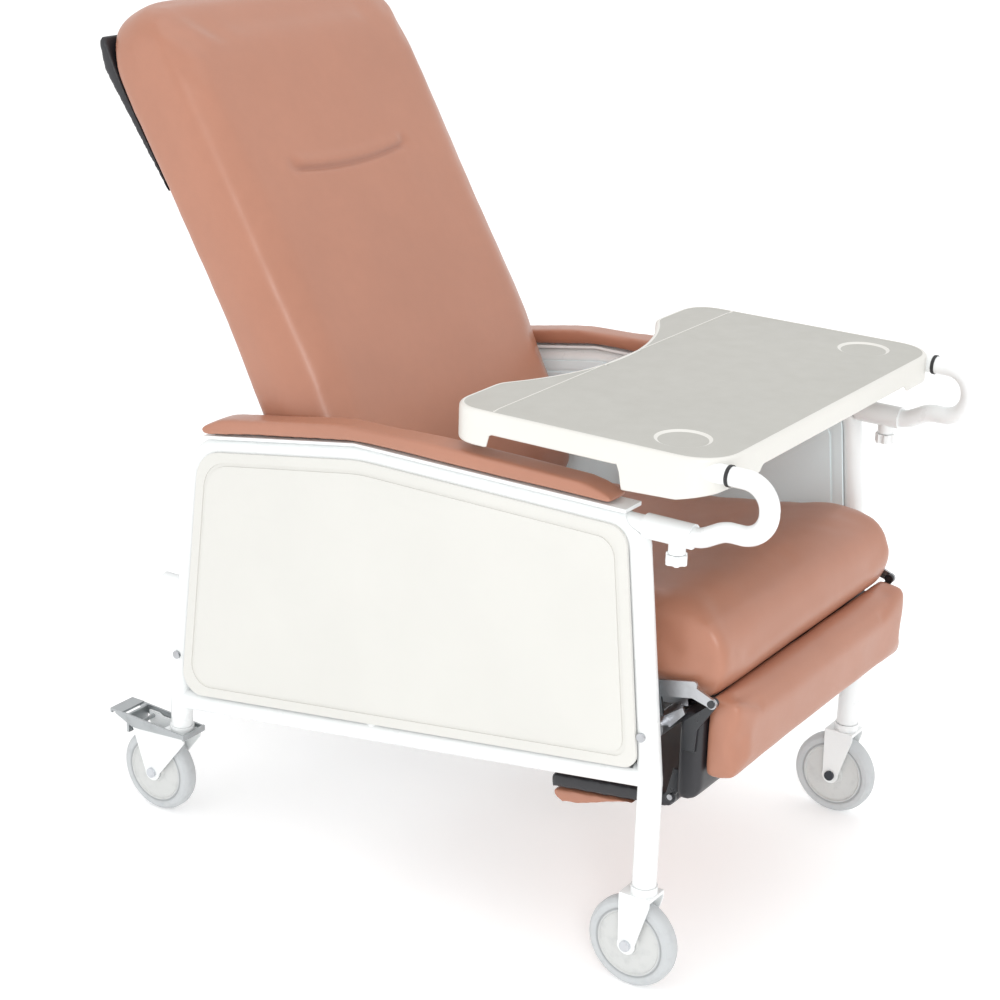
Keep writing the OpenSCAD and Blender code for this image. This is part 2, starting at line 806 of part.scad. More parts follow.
// Fork: stem, bearing crown, top plate and two side plates with the axle holes
module fork(trail, braked) {
    plate = braked
        ? [
            [-19, 139], [-19, 128], [trail - 13, wheel_r], [trail + 13, wheel_r],
            [trail + 36, 128], [trail + 36, 143], [trail + 18, 143], [trail + 10, 139]
        ]
        : [[-19, 139], [-19, 128], [trail - 12, wheel_r], [trail + 12, wheel_r], [26, 128], [26, 139]];
    difference() {
        union() {
            translate([0, 0, 138]) cylinder(h = leg_bottom - 138.5, r = 18);
            translate([0, 0, 144]) cylinder(h = 44, r = stem_r);
            translate([-fork_in - fork_t, -19, 134]) cube([2 * (fork_in + fork_t), 45, 5]);
            for (x = [-fork_in - fork_t, fork_in]) side_plane(x) linear_extrude(fork_t) union() {
                polygon(plate);
                translate([trail, wheel_r]) circle(r = 13);
            }
        }
        bar_x([trail, wheel_r], axle_r + 0.02, -40, 40);
        if (braked) bar_x([trail + brake_pin_y, brake_pin_z], 3 + run_gap, -40, 40);
    }
}

// Wheel: tyre and disc in one moulding, with ring grooves and a hub
module wheel(trail) {
    rim = wheel_r - 15;
    half = wheel_w / 2;
    translate([0, trail, wheel_r]) rotate([0, 90, 0]) rotate_extrude($fn = 96) polygon([
        [axle_r + run_gap, -half - 1.5], [15, -half - 1.5], [17, -half + 2], [rim - 5, -half + 3.5],
        [rim - 3, -half + 0.5], [rim, -half + 2.5], [rim + 3, -half + 0.5], [wheel_r - 6, -half + 1],
        [wheel_r - 1.5, -half + 5], [wheel_r, -half + 9], [wheel_r, half - 9], [wheel_r - 1.5, half - 5],
        [wheel_r - 6, half - 1], [rim + 3, half - 0.5], [rim, half - 2.5], [rim - 3, half - 0.5],
        [rim - 5, half - 3.5], [17, half - 2], [15, half + 1.5], [axle_r + run_gap, half + 1.5]
    ]);
}

module axle(trail) {
    half = fork_in + fork_t;
    at = [trail, wheel_r];
    bar_x(at, axle_r, -half, half);
    bar_x(at, 7.5, -half - 4, -half);
    bar_x(at, 7.5, half, half + 4);
}

// Brake pedal: side straps round the fork, a tread at the rear, a release bar and a shoe
module brake_pedal() {
    trail = rear_trail;
    pin = [trail + brake_pin_y, brake_pin_z];
    strap_in = fork_in + fork_t + 1.2;
    strap = [[-21, 138], [-21, 144], [112, 150], [112, 144], pin + [7, -5], pin + [-7, -5]];
    union() {
        for (x = [-strap_in - 3, strap_in]) side_plane(x) linear_extrude(3)
            polygon(rounded(strap, [2, 2, 2, 2, 3, 3], 3));
        translate([-strap_in - 3, -23, 136]) cube([2 * strap_in + 6, 3, 9]);
        translate([-strap_in - 3, 98, 146.5]) cube([2 * strap_in + 6, 24, 3.5]);
        translate([-strap_in - 3, 119, 143]) cube([2 * strap_in + 6, 3, 5]);
        // pin, and the shoe that presses on the tyre
        bar_x(pin, 3, -strap_in - 3, strap_in + 3);
        translate([-strap_in, 88, 118]) cube([2 * strap_in, 4, 29]);
    }
}

module fork_front_left() { color(white_paint) caster_at(1, front_stem_y) fork(front_trail, false); }
module fork_front_right() { color(white_paint) caster_at(-1, front_stem_y) fork(front_trail, false); }
module fork_rear_left() { color(white_paint) caster_at(1, rear_stem_y) fork(rear_trail, true); }
module fork_rear_right() { color(white_paint) caster_at(-1, rear_stem_y) fork(rear_trail, true); }
module wheel_front_left() { color(wheel_grey) caster_at(1, front_stem_y) wheel(front_trail); }
module wheel_front_right() { color(wheel_grey) caster_at(-1, front_stem_y) wheel(front_trail); }
module wheel_rear_left() { color(wheel_grey) caster_at(1, rear_stem_y) wheel(rear_trail); }
module wheel_rear_right() { color(wheel_grey) caster_at(-1, rear_stem_y) wheel(rear_trail); }
module axle_front_left() { color(steel) caster_at(1, front_stem_y) axle(front_trail); }
module axle_front_right() { color(steel) caster_at(-1, front_stem_y) axle(front_trail); }
module axle_rear_left() { color(steel) caster_at(1, rear_stem_y) axle(rear_trail); }
module axle_rear_right() { color(steel) caster_at(-1, rear_stem_y) axle(rear_trail); }
module brake_pedal_left() { color(steel) caster_at(1, rear_stem_y) brake_pedal(); }
module brake_pedal_right() { color(steel) caster_at(-1, rear_stem_y) brake_pedal(); }

frame_left();
frame_right();
caster_sockets();
rear_cross_tube();
seat_frame();
frame_bolts();
outer_panel_left();
outer_panel_right();
inner_panel_left();
inner_panel_right();
arm_rail_left();
arm_rail_right();
arm_pad_left();
arm_pad_right();
wall_bumpers();
tray_sleeve_left();
tray_sleeve_right();
clamp_knob_left();
clamp_knob_right();
seat_board();
seat_cushion();
back_pins();
legrest_pins();
back_frame();
back_board();
back_cushion();
back_cover();
push_bar();
position_plate();
release_lever();
release_pin();
legrest_board();
legrest_cushion();
legrest_arms();
foot_rod();
foot_board();
foot_pad();
tray_top();
tray_arm_left();
tray_arm_right();
tray_clamps();
fork_front_left();
fork_front_right();
fork_rear_left();
fork_rear_right();
wheel_front_left();
wheel_front_right();
wheel_rear_left();
wheel_rear_right();
axle_front_left();
axle_front_right();
axle_rear_left();
axle_rear_right();
brake_pedal_left();
brake_pedal_right();
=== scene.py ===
"""Patient recliner chair: soft goods, materials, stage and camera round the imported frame."""
import json
import math

import bmesh
import bpy
import numpy as np
from mathutils import Matrix, Vector, noise


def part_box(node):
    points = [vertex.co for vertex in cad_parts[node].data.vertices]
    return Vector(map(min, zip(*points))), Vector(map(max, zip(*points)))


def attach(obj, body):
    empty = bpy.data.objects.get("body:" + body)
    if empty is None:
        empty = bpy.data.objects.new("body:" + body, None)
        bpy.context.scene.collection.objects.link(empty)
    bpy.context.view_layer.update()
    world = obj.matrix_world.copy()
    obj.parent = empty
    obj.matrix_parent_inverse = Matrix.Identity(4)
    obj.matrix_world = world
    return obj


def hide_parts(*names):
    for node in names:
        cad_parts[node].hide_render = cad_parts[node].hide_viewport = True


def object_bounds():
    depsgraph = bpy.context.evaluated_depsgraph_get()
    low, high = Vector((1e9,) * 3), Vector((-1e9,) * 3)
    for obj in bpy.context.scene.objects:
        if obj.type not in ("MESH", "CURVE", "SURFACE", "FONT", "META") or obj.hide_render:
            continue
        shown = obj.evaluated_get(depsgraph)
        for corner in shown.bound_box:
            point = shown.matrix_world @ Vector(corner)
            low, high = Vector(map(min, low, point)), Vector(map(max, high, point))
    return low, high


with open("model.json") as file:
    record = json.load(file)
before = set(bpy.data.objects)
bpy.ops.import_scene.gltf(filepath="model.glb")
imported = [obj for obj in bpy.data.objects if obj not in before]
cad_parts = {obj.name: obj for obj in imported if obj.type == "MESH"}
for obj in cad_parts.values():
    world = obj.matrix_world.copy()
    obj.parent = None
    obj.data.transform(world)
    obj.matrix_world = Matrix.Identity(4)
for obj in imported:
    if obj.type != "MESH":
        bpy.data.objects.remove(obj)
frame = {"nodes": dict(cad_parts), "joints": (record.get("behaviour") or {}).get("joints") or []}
cad_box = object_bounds()
NODES = frame["nodes"]
JOINTS = {j["name"]: j for j in frame["joints"]}

# ---------------------------------------------------------------- colours (linear)

ROSE = (0.418, 0.182, 0.114)
# painted shade: the colour laid into the vinyl's creases
ROSE_CREASE_SHADE = (0.330, 0.140, 0.090)
BLACK = (0.012, 0.012, 0.016)
WHITE_PAINT = (0.84, 0.86, 0.86)
PANEL = (0.675, 0.670, 0.635)
# painted light: the inner panels' plastic, lighter and bluer than PANEL, brightened to stand in for light in
# the shade between seat and tray
PANEL_INNER_LIT = (0.82, 0.93, 0.96)
# painted shade: the tray plastic darkened for its top face; TRAY_EDGE is the plastic itself
TRAY_TOP_SHADE = (0.445, 0.44, 0.405)
TRAY_EDGE = (0.72, 0.71, 0.67)
TYRE = (0.53, 0.55, 0.56)
HUB = (0.60, 0.61, 0.60)
STEEL = (0.50, 0.51, 0.53)
BRIGHT_STEEL = (0.62, 0.64, 0.67)
WORN_STEEL = (0.42, 0.43, 0.45)
BRAKE_GREY = (0.46, 0.48, 0.49)
AXLE_CAP = (0.02, 0.025, 0.035)
DARK_PLASTIC = (0.02, 0.02, 0.022)
DARK_PAINT = (0.016, 0.018, 0.022)
PLY = (0.47, 0.32, 0.17)
FLOOR_LOW, FLOOR_HIGH = (0.92, 0.92, 0.92), (0.94, 0.94, 0.94)

# ---------------------------------------------------------------- material helpers


class Shader:
    """A Principled material with a few short calls for the nodes that every surface here uses."""

    def __init__(self, name, colour, rough, metallic=0.0):
        self.mat = bpy.data.materials.new(name)
        self.mat.use_nodes = True
        self.nodes = self.mat.node_tree.nodes
        self.links = self.mat.node_tree.links
        self.bsdf = self.nodes["Principled BSDF"]
        self.bsdf.inputs["Base Color"].default_value = (*colour, 1)
        self.bsdf.inputs["Roughness"].default_value = rough
        self.bsdf.inputs["Metallic"].default_value = metallic
        self.coords = self.nodes.new("ShaderNodeTexCoord").outputs["Object"]

    def set(self, **sockets):
        for name, value in sockets.items():
            self.bsdf.inputs[name.replace("_", " ")].default_value = value
        return self

    def noise(self, scale, detail=3.0, rough=0.55, stretch=None):
        node = self.nodes.new("ShaderNodeTexNoise")
        node.inputs["Scale"].default_value = scale
        node.inputs["Detail"].default_value = detail
        node.inputs["Roughness"].default_value = rough
        coords = self.coords
        if stretch:
            mapping = self.nodes.new("ShaderNodeMapping")
            mapping.inputs["Scale"].default_value = stretch
            self.links.new(coords, mapping.inputs["Vector"])
            coords = mapping.outputs["Vector"]
        self.links.new(coords, node.inputs["Vector"])
        return node.outputs["Fac"]

    def cells(self, scale, feature="DISTANCE_TO_EDGE"):
        node = self.nodes.new("ShaderNodeTexVoronoi")
        node.feature = feature
        node.inputs["Scale"].default_value = scale
        self.links.new(self.coords, node.inputs["Vector"])
        return node.outputs["Distance"]

    def vector_maths(self, op, a, b=None):
        """The node for a vector sum: a is a socket, and b is three numbers."""
        node = self.nodes.new("ShaderNodeVectorMath")
        node.operation = op
        self.links.new(a, node.inputs[0])
        if b is not None:
            node.inputs[1].default_value = b
        return node

    def ramp(self, fac, low, high, a, b):
        """Maps fac from low..high to a..b."""
        node = self.nodes.new("ShaderNodeMapRange")
        for name, value in (("From Min", low), ("From Max", high), ("To Min", a), ("To Max", b)):
            node.inputs[name].default_value = value
        self.links.new(fac, node.inputs["Value"])
        return node.outputs["Result"]

    def maths(self, op, a, b):
        node = self.nodes.new("ShaderNodeMath")
        node.operation = op
        for k, value in enumerate((a, b)):
            if isinstance(value, (int, float)):
                node.inputs[k].default_value = value
            else:
                self.links.new(value, node.inputs[k])
        return node.outputs["Value"]

    def mix(self, fac, a, b):
        """A colour between a and b; each is a colour or a socket."""
        node = self.nodes.new("ShaderNodeMix")
        node.data_type = "RGBA"
        self.links.new(fac, node.inputs["Factor"])
        for socket, value in ((node.inputs["A"], a), (node.inputs["B"], b)):
            if isinstance(value, tuple):
                socket.default_value = (*value, 1)
            else:
                self.links.new(value, socket)
        return node.outputs["Result"]

    def attribute(self, name):
        node = self.nodes.new("ShaderNodeAttribute")
        node.attribute_name = name
        return node.outputs["Fac"]

    def colour(self, socket):
        self.links.new(socket, self.bsdf.inputs["Base Color"])
        return self

    def roughness(self, socket):
        self.links.new(socket, self.bsdf.inputs["Roughness"])
        return self

    def bump(self, *layers):
        """Stacks bumps: each layer is (height, distance in metres, strength)."""
        normal = None
        for height, distance, strength in layers:
            node = self.nodes.new("ShaderNodeBump")
            node.inputs["Distance"].default_value = distance
            node.inputs["Strength"].default_value = strength
            self.links.new(height, node.inputs["Height"])
            if normal:
                self.links.new(normal, node.inputs["Normal"])
            normal = node.outputs["Normal"]
        self.links.new(normal, self.bsdf.inputs["Normal"])
        return self


def shade(colour, factor):
    return tuple(min(1.0, c * factor) for c in colour)


def vinyl(name, colour, deep, rough):
    """Upholstery vinyl: pebbled grain, faint mottling, and painted shade in creases: the deep colour where
    the crease attribute is set.
    """
    s = Shader(name, colour, rough)
    mottle = s.ramp(s.noise(5, 4), 0.3, 0.7, 0.0, 1.0)
    base = s.mix(mottle, shade(colour, 0.96), shade(colour, 1.05))
    base = s.mix(s.ramp(s.noise(55, 3), 0.35, 0.7, 0.0, 0.22), base, shade(colour, 0.90))
    # painted shade: the deep colour mixed in where the crease attribute marks a crease
    base = s.mix(s.attribute("crease"), base, deep)
    s.colour(base)
    s.roughness(s.ramp(s.noise(14, 4), 0.3, 0.7, rough - 0.04, rough + 0.06))
    pebble = s.ramp(s.cells(720), 0.0, 0.35, 0.0, 1.0)
    s.bump((s.noise(90, 3), 0.0006, 0.16), (pebble, 0.00016, 0.32), (s.noise(2400, 2), 0.00008, 0.20))
    return s.set(Specular_IOR_Level=0.55, Coat_Weight=0.18, Coat_Roughness=0.28).mat


def powder_coat(name, colour):
    """Paint on steel: a slight orange peel and a little grime in patches."""
    s = Shader(name, colour, 0.30)
    grime = s.ramp(s.noise(22, 5), 0.55, 0.8, 0.0, 0.25)
    s.colour(s.mix(grime, colour, shade(colour, 0.86)))
    s.roughness(s.ramp(s.noise(30, 4), 0.3, 0.7, 0.26, 0.38))
    s.bump((s.noise(420, 2), 0.00012, 0.22))
    return s.set(Coat_Weight=0.25, Coat_Roughness=0.15).mat


def moulded(name, colour, rough, grain=1500, depth=0.00007):
    """Moulded plastic: fine even grain, a faint cloudiness and light scuffs."""
    s = Shader(name, colour, rough)
    cloud = s.ramp(s.noise(4, 4), 0.3, 0.7, 0.0, 1.0)
    base = s.mix(cloud, shade(colour, 0.975), shade(colour, 1.02))
    scuff = s.ramp(s.noise(60, 6, 0.7, (1, 0.12, 1)), 0.62, 0.8, 0.0, 0.35)
    s.colour(s.mix(scuff, base, shade(colour, 0.93)))
    s.roughness(s.ramp(s.noise(35, 5), 0.3, 0.75, rough - 0.05, rough + 0.08))
    s.bump((s.noise(8, 2), 0.0012, 0.05), (s.cells(grain, "F1"), depth, 0.30))
    return s.mat


def metal(name, colour, rough, brushed=(1, 30, 30)):
    """Plated steel with a fine draw grain and small stains."""
    s = Shader(name, colour, rough, 1.0)
    stain = s.ramp(s.noise(45, 5), 0.5, 0.75, 0.0, 0.5)
    s.colour(s.mix(stain, colour, shade(colour, 0.7)))
    s.roughness(s.ramp(s.noise(60, 4, 0.6, brushed), 0.3, 0.7, rough - 0.08, rough + 0.10))
    s.bump((s.noise(500, 3, 0.6, brushed), 0.00005, 0.25))
    return s.mat


def plywood(name):
    s = Shader(name, PLY, 0.6)
    rings = s.ramp(s.noise(9, 6, 0.65, (1, 9, 9)), 0.3, 0.7, 0.0, 1.0)
    s.colour(s.mix(rings, shade(PLY, 0.75), shade(PLY, 1.2)))
    s.bump((s.noise(60, 4, 0.6, (1, 14, 14)), 0.0003, 0.4))
    return s.mat


# each vinyl's third colour is its painted crease shade
VINYL = vinyl("rose_vinyl", ROSE, ROSE_CREASE_SHADE, 0.36)
VINYL_BLACK = vinyl("black_vinyl", BLACK, shade(BLACK, 0.5), 0.42)
PAINT = powder_coat("white_powder_coat", WHITE_PAINT)
PANEL_SKIN = moulded("panel_plastic", PANEL, 0.46)
# painted light: the inner panels brightened against the shade they sit in
PANEL_INNER_PAINTED_LIGHT = moulded("inner_panel_painted_light", PANEL_INNER_LIT, 0.50)
TRAY_SKIN = moulded("tray_edge_plastic", TRAY_EDGE, 0.34, 900)
# painted shade: the work area as a darker copy of the tray plastic
TRAY_WORK_SHADE = moulded("tray_top_painted_shade", TRAY_TOP_SHADE, 0.40, 700, 0.00012)
BLACK_PLASTIC = moulded("black_plastic", DARK_PLASTIC, 0.45)
KNOB_PLASTIC = moulded("knob_plastic", WHITE_PAINT, 0.35)
ZINC = metal("zinc_plated_steel", STEEL, 0.34)
BRAKE_STEEL = metal("brake_steel", BRAKE_GREY, 0.42)
WOOD = plywood("plywood")
BLACK_PAINT = powder_coat("black_powder_coat", DARK_PAINT)

# ---------------------------------------------------------------- mesh helpers


def add_object(name, data):
    """A new object in the scene: data is its mesh, light or camera."""
    obj = bpy.data.objects.new(name, data)
    bpy.context.scene.collection.objects.link(obj)
    return obj


def smoothstep(v):
    v = np.clip(v, 0, 1)
    return v * v * (3 - 2 * v)


def positions(mesh):
    co = np.empty(len(mesh.vertices) * 3)
    mesh.vertices.foreach_get("co", co)
    return co.reshape(-1, 3)


def normals(mesh):
    no = np.empty(len(mesh.vertices) * 3)
    mesh.vertices.foreach_get("normal", no)
    return no.reshape(-1, 3)


def put(mesh, co):
    mesh.vertices.foreach_set("co", np.ascontiguousarray(co, np.float64).ravel())
    mesh.update()


def bake_modifiers(obj):
    graph = bpy.context.evaluated_depsgraph_get()
    mesh = bpy.data.meshes.new_from_object(obj.evaluated_get(graph))
    obj.modifiers.clear()
    obj.data = mesh


def edges_of(mesh):
    ends = np.empty(len(mesh.edges) * 2, np.int64)
    mesh.edges.foreach_get("vertices", ends)
    return ends.reshape(-1, 2)


def relax(mesh, rounds, factor=0.5, weight=None):
    """Laplacian smoothing, scaled at each vertex by its weight."""
    co = positions(mesh)
    ends = edges_of(mesh)
    count = np.bincount(ends.ravel(), minlength=len(co))[:, None].astype(float)
    for _ in range(rounds):
        total = np.zeros_like(co)
        np.add.at(total, ends[:, 0], co[ends[:, 1]])
        np.add.at(total, ends[:, 1], co[ends[:, 0]])
        move = (total / count - co) * factor
        co = co + (move if weight is None else move * weight[:, None])
    put(mesh, co)


def smooth_shading(mesh):
    mesh.polygons.foreach_set("use_smooth", np.ones(len(mesh.polygons), bool))
    mesh.update()


BOARD_GROWTH = 0.0012
WELD = 0.00001


def solid_copy(name, node, *boards):
    """A closed copy of a CAD solid, to be reworked. Boards are added, each grown to overlap it."""
    bm = bmesh.new()
    for source in (node, *boards):
        mesh = NODES[source].data.copy()
        if source != node:
            co = positions(mesh)
            middle = (co.max(0) + co.min(0)) / 2
            put(mesh, co + np.sign(co - middle) * BOARD_GROWTH)
        bm.from_mesh(mesh)
        bpy.data.meshes.remove(mesh)
    bmesh.ops.remove_doubles(bm, verts=bm.verts, dist=WELD)
    mesh = bpy.data.meshes.new(name)
    bm.to_mesh(mesh)
    bm.free()
    return add_object(name, mesh)


def voxel(obj, size):
    modifier = obj.modifiers.new("remesh", "REMESH")
    modifier.mode = "VOXEL"
    modifier.voxel_size = size
    bake_modifiers(obj)


PRESSURE = 4.0
CLOTH_FRAMES = 20


def inflate(obj, held, cap):
    """Swells a closed mesh as cloth under pressure. Held vertices stay, and none moves past cap."""
    start = positions(obj.data)
    group = obj.vertex_groups.new(name="held")
    group.add([int(i) for i in np.flatnonzero(held)], 1.0, "REPLACE")
    cloth = obj.modifiers.new("cloth", "CLOTH")
    settings = cloth.settings
    settings.quality = 6
    settings.mass = 0.35
    settings.tension_stiffness = 14
    settings.compression_stiffness = 14
    settings.shear_stiffness = 6
    settings.bending_stiffness = 1.2
    settings.use_pressure = True
    settings.uniform_pressure_force = PRESSURE
    settings.vertex_group_mass = "held"
    settings.effector_weights.gravity = 0.0
    cloth.collision_settings.use_collision = False
    cloth.point_cache.frame_start = 1
    cloth.point_cache.frame_end = CLOTH_FRAMES
    scene = bpy.context.scene
    for number in range(1, CLOTH_FRAMES + 1):
        scene.frame_set(number)
    bake_modifiers(obj)
    scene.frame_set(1)
    obj.vertex_groups.clear()
    move = positions(obj.data) - start
    length = np.linalg.norm(move, axis=1, keepdims=True)
    put(obj.data, start + move * np.minimum(1.0, cap / np.maximum(length, 1e-9)))


def subdivide(obj):
    modifier = obj.modifiers.new("subdivision", "SUBSURF")
    modifier.levels = 1
    bake_modifiers(obj)


# painted shade: the share of the vinyl's deep colour at each vertex
def crease_shade_attribute(mesh, values):
    layer = mesh.attributes.get("crease") or mesh.attributes.new("crease", "FLOAT", "POINT")
    layer.data.foreach_set("value", np.clip(values, 0, 1).astype(np.float32))


def finish_soft(obj, body, material, slot, *replaced, fill=None):
    smooth_shading(obj.data)
    obj.data.materials.clear()
    obj.data.materials.append(material)
    if not obj.data.attributes.get("crease"):
        crease_shade_attribute(obj.data, np.zeros(len(obj.data.vertices)))
    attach(obj, body)
    if replaced:
        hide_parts(*replaced)
    return obj


# ---------------------------------------------------------------- local frames

BACK_LEAN = math.radians(27)
SEAT_TILT = math.radians(6)
BACK_PIVOT = np.array(JOINTS["back_recline"]["pos_m"])
PIVOT_BEHIND = 0.025


class Slope:
    """A frame turned about X: run is the direction along it, out is square to it."""

    def __init__(self, origin, run, out):
        self.origin = np.array(origin, float)
        self.run = np.array(run, float)
        self.out = np.array(out, float)

    def split(self, co):
        """x, distance along, distance out, for an array of points."""
        rel = co - self.origin
        return rel[:, 0], rel @ self.run, rel @ self.out


back_up = (0, math.sin(BACK_LEAN), math.cos(BACK_LEAN))
back_front = (0, -math.cos(BACK_LEAN), math.sin(BACK_LEAN))
BACK = Slope(BACK_PIVOT + PIVOT_BEHIND * np.array(back_front), back_up, back_front)
seat_low, seat_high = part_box("seat_board")
SEAT_START = 0.008
seat_back = np.array((0, math.cos(SEAT_TILT), -math.sin(SEAT_TILT)))
seat_up = (0, math.sin(SEAT_TILT), math.cos(SEAT_TILT))
SEAT = Slope((0, seat_low.y, seat_high.z) - SEAT_START * seat_back, seat_back, seat_up)


def groove(distance, width):
    """A soft ridge: 1 on the line, a third at its width and nothing past twice that."""
    return np.exp(-(distance / width) ** 2)


def undulate(co, scale, seed):
    """Smooth noise in -1..1 at each point."""
    shift = Vector((seed * 7.1, seed * 3.7, seed * 5.3))
    return np.array([noise.noise(Vector(p) * scale + shift) for p in co])


# ---------------------------------------------------------------- cushions

COARSE, FINE, PAD_GRID, ARM_GRID, COVER_GRID = 0.010, 0.006, 0.005, 0.004, 0.004
CUSHION_SWELL = 0.007
SEAT_SHRINK = 0.004
NOSE_PUSH, LIP_DROP = 0.0045, 0.005
BACK_RIM_OUT, BACK_FACE_IN = 0.0035, 0.004
CREASE_ALONG, CREASE_CURVE = 0.594, 0.6
CREASE_MIDDLE, CREASE_HALF = -0.008, 0.132
CREASE_DEPTH, CREASE_LIP, CREASE_PUCKER = 0.0042, 0.0018, 0.0024
LEGREST_LIFT, LEGREST_LIFT_REACH = 0.010, 0.035


def seat_cushion():
    """A box cushion that swells over its board, with a full nose and a lip drawn down at the front."""
    obj = solid_copy("seat_upholstery", "seat_cushion", "seat_board")
    voxel(obj, COARSE)
    mesh = obj.data
    put(mesh, positions(mesh) - normals(mesh) * SEAT_SHRINK)
    out = SEAT.split(positions(mesh))[2]
    relax(mesh, 4, 0.5, smoothstep((out + 0.006) / 0.03))
    voxel(obj, FINE)
    relax(obj.data, 4)
    inflate(obj, SEAT.split(positions(obj.data))[2] < 0.008, CUSHION_SWELL)
    relax(obj.data, 8, 0.6)
    subdivide(obj)
    mesh = obj.data
    co, no = positions(mesh), normals(mesh)
    along, out = SEAT.split(co)[1:]
    wander = 0.0006 * undulate(co, 14, 1) + 0.0015 * undulate(co, 5, 2)
    nose = smoothstep((0.16 - along) / 0.10) * smoothstep(out / 0.03)
    lip = smoothstep((0.045 - along) / 0.03) * smoothstep((0.035 - out) / 0.03)
    put(mesh, co + no * (wander + NOSE_PUSH * nose)[:, None] - SEAT.out * (LIP_DROP * lip)[:, None])
    return finish_soft(obj, "chair", VINYL, "rose_vinyl", "seat_cushion", "seat_board", fill=0.8)


def back_cushion():
    """A box cushion round its board, with a short sewn crease under the head: a shallow smile."""
    obj = solid_copy("back_upholstery", "back_cushion", "back_board")
    voxel(obj, COARSE)
    mesh = obj.data
    co, no = positions(mesh), normals(mesh)
    rim = 1 - smoothstep((no @ BACK.out - 0.2) / 0.6)
    put(mesh, co + no * (BACK_RIM_OUT * rim - BACK_FACE_IN * (1 - rim))[:, None])
    out = BACK.split(positions(mesh))[2]
    relax(mesh, 14, 0.5, 0.06 + 0.94 * smoothstep((out + 0.004) / 0.03))
    voxel(obj, FINE)
    relax(obj.data, 5)
    inflate(obj, BACK.split(positions(obj.data))[2] < 0.006, CUSHION_SWELL)
    relax(obj.data, 10, 0.6)
    subdivide(obj)
    mesh = obj.data
    co, no = positions(mesh), normals(mesh)
    x, along = BACK.split(co)[:2]
    front = smoothstep((no @ BACK.out - 0.4) / 0.3)
    x = x - CREASE_MIDDLE
    smile = along - (CREASE_ALONG + CREASE_CURVE * x ** 2)
    reach = smoothstep((CREASE_HALF - np.abs(x)) / 0.02)
    crease = groove(smile, 0.0045) * reach * front
    lip = groove(smile - 0.012, 0.009) * reach * front
    tips = (0.004 - CREASE_HALF, CREASE_HALF - 0.004)
    ends = sum(groove(np.hypot(x - tip, smile - 0.004), 0.010) for tip in tips) * front
    wander = 0.0006 * undulate(co, 12, 3) + 0.0016 * undulate(co, 4, 4)
    height = wander - CREASE_DEPTH * crease + CREASE_LIP * lip - CREASE_PUCKER * ends
    put(mesh, co + no * height[:, None])
    # painted shade along the crease and at its puckered ends
    crease_shade_attribute(mesh, 0.7 * crease + 0.35 * ends)
    return finish_soft(obj, "back", VINYL, "rose_vinyl", "back_cushion", "back_board", fill=0.8)


def small_pad(node, name, grid, shrink, rounds, held_axis, swell):
    """A firm pad on a board: shrunk, relaxed and swelled. held_axis points from it into its board."""
    obj = solid_copy(name, node)
    voxel(obj, grid)
    mesh = obj.data
    put(mesh, positions(mesh) - normals(mesh) * shrink)
    reach = positions(mesh) @ np.array(held_axis)
    relax(mesh, rounds, 0.5, 0.15 + 0.85 * smoothstep((reach.max() - reach - 0.003) / 0.012))
    if swell:
        inflate(obj, reach > reach.max() - 0.008, swell)
        relax(obj.data, 2)
    subdivide(obj)
    mesh = obj.data
    co, no = positions(mesh), normals(mesh)
    put(mesh, co + no * (0.0006 * undulate(co, 16, 5) + 0.0010 * undulate(co, 6, 6))[:, None])
    return obj


def pads():
    """The leg-rest pad, whose top is lifted to meet the seat's nose, the foot pad and the arm pads."""
    legrest = small_pad("legrest_cushion", "legrest_upholstery", PAD_GRID, 0.001, 8, (0, 1, 0), 0.005)
    co = positions(legrest.data)
    z = co[:, 2]
    z += LEGREST_LIFT * smoothstep((z - z.max() + LEGREST_LIFT_REACH) / LEGREST_LIFT_REACH)
    put(legrest.data, co)
    finish_soft(legrest, "legrest", VINYL, "rose_vinyl", "legrest_cushion", fill=0.85)
    foot = small_pad("foot_pad", "foot_pad_upholstery", PAD_GRID, 0.002, 6, (0, 0, 1), 0.0)
    finish_soft(foot, "foot", VINYL, "rose_vinyl", "foot_pad", fill=0.85)
    for side in ("left", "right"):
        arm = small_pad(f"arm_pad_{side}", f"arm_upholstery_{side}", ARM_GRID, 0.002, 14, (0, 0, -1), 0.0)
        finish_soft(arm, "chair", VINYL, "rose_vinyl", f"arm_pad_{side}", fill=0.9)


def covers():
    """Black vinyl stretched over boards: the back cover, the leg-rest board and the foot board."""
    for node, name, body, rounds in (
        ("back_cover", "back_cover_vinyl", "back", 3),
        ("legrest_board", "legrest_board_vinyl", "legrest", 5),
        ("foot_board", "foot_board_vinyl", "foot", 3),
    ):
        obj = solid_copy(name, node)
        voxel(obj, COVER_GRID)
        relax(obj.data, rounds)
        co, no = positions(obj.data), normals(obj.data)
        put(obj.data, co + no * (0.0006 * undulate(co, 16, 8))[:, None])
        finish_soft(obj, body, VINYL_BLACK, "black_vinyl", node)


# ---------------------------------------------------------------- tray

TRAY_CORNER_FRONT, TRAY_CORNER_REAR = 0.058, 0.042
TRAY_STEP = 0.004
BELLY_HALF, BELLY_DEPTH = 0.206, 0.064
CUP_X, CUP_Y, CUP_R, CUP_WALL, CUP_WALL_HALF = 0.260, -0.3945, 0.0355, 0.0338, 0.0022
CUP_SIDES = 72
